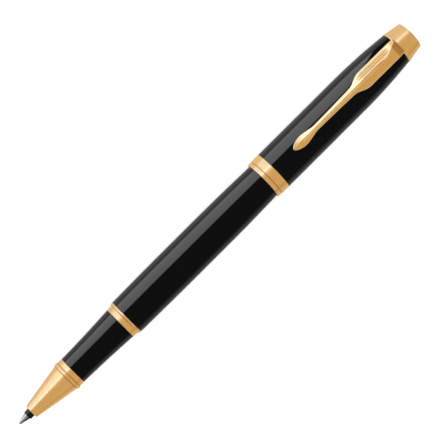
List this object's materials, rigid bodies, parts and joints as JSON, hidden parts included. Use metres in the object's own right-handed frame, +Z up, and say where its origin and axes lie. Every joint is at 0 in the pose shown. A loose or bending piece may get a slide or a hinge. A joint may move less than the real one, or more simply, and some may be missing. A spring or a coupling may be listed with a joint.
{
  "type": "rollerball pen",
  "caption": "Slim black lacquered rollerball pen with gold-coloured trims, its cap posted on the barrel, with a sprung pocket clip and a screw-in writing section.",
  "frame": {"origin": "under the middle of the pen's length, level with the lowest line of the cap, as the pen lies", "axes": "+X along the pen from the writing tip to the crown, +Z up through the middle of the clip"},
  "size_m": [0.155, 0.0124, 0.0145],
  "materials": {
    "lacquer": "glossy black lacquer",
    "gold_trim": "polished gold plate",
    "tip_steel": "turned",
    "hard_ball": "ground",
    "refill_plastic": "moulded",
    "refill_metal": "drawn tube",
    "ink_fibre": "ink-soaked fibre",
    "turned_brass": "turned",
    "liner_plastic": "moulded",
    "spring_steel": "drawn wire"
  },
  "bodies": {
    "barrel": {"barrel_shell": "lacquer", "barrel_bush": "turned_brass", "barrel_end_plug": "liner_plastic", "refill_spring": "spring_steel"},
    "refill": {"refill_tube": "refill_metal", "refill_end_plug": "refill_plastic", "ink_reservoir": "ink_fibre", "feed_wick": "ink_fibre", "tip_holder": "refill_plastic", "writing_tip": "tip_steel"},
    "section": {"grip_section": "lacquer", "section_ring": "gold_trim", "nose_cone": "gold_trim", "section_coupling": "turned_brass"},
    "ball": {"ball": "hard_ball"},
    "cap": {"cap_shell": "lacquer", "inner_cap": "liner_plastic", "cap_band": "gold_trim", "crown": "gold_trim", "cap_screw": "spring_steel", "clip_ring": "gold_trim"},
    "clip": {"clip": "gold_trim"}
  },
  "joints": [
    {"name": "section_advance", "type": "slide", "parent": "barrel", "child": "refill", "axis": [-1, 0, 0], "range_m": [0, 0.006], "deforming": ["refill_spring"]},
    {"name": "section_turn", "type": "hinge", "parent": "refill", "child": "section", "pos_m": [-0.03254, 0, 0.0062], "axis": [-1, 0, 0], "range_deg": [0, 2160]},
    {"name": "ball_roll", "type": "hinge", "parent": "refill", "child": "ball", "pos_m": [-0.07719, 0, 0.0062], "axis": [0, 1, 0], "continuous": true},
    {"name": "cap_slide", "type": "slide", "parent": "barrel", "child": "cap", "axis": [1, 0, 0], "range_m": [0, 0.03]},
    {"name": "clip_flex", "type": "hinge", "parent": "cap", "child": "clip", "pos_m": [0.07103, 0, 0.01211], "axis": [0, 1, 0], "range_deg": [0, 3], "stiffness_Nm_per_rad": 3.5, "springref_deg": -0.57}
  ],
  "couplings": [
    {"joint": "section_advance", "follows": "section_turn", "m_per_rad": 0.00015915}
  ]
}
